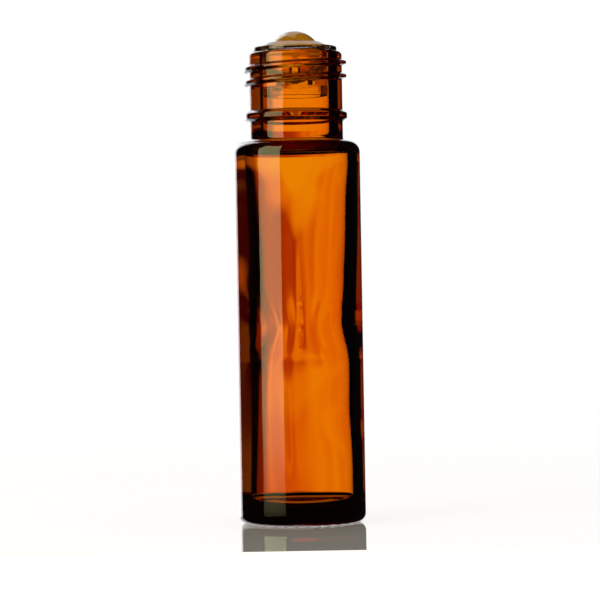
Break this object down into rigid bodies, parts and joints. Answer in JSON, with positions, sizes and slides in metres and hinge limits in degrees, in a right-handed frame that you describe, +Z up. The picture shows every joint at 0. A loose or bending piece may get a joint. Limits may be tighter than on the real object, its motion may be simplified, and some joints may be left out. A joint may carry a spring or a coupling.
{
  "type": "roll on bottle",
  "caption": "Small amber glass bottle with a straight body, screw-thread neck and thick base, and a clear press-in roller housing that holds a rolling glass ball in its mouth.",
  "frame": {"origin": "centre of the ring that the bottle stands on", "axes": "+Z up the bottle's axis, towards the mouth; -Y is the side that faces the picture's camera"},
  "size_m": [0.02, 0.02, 0.0773],
  "materials": {
    "amber_glass": "glossy amber glass, orange where thin and nearly black where thick",
    "clear_plastic": "clear moulded plastic with a soft gloss",
    "clear_glass": "polished clear glass"
  },
  "bodies": {
    "bottle": {"glass_bottle": "amber_glass"},
    "roller_insert": {"roller_housing": "clear_plastic"},
    "ball": {"roller_ball": "clear_glass"}
  },
  "joints": [
    {"name": "insert_pull", "type": "slide", "parent": "bottle", "child": "roller_insert", "axis": [0, 0, 1], "range_m": [0, 0.012]},
    {"name": "ball_roll", "type": "hinge", "parent": "roller_insert", "child": "ball", "pos_m": [0, 0, 0.0731], "axis": [1, 0, 0], "continuous": true}
  ]
}
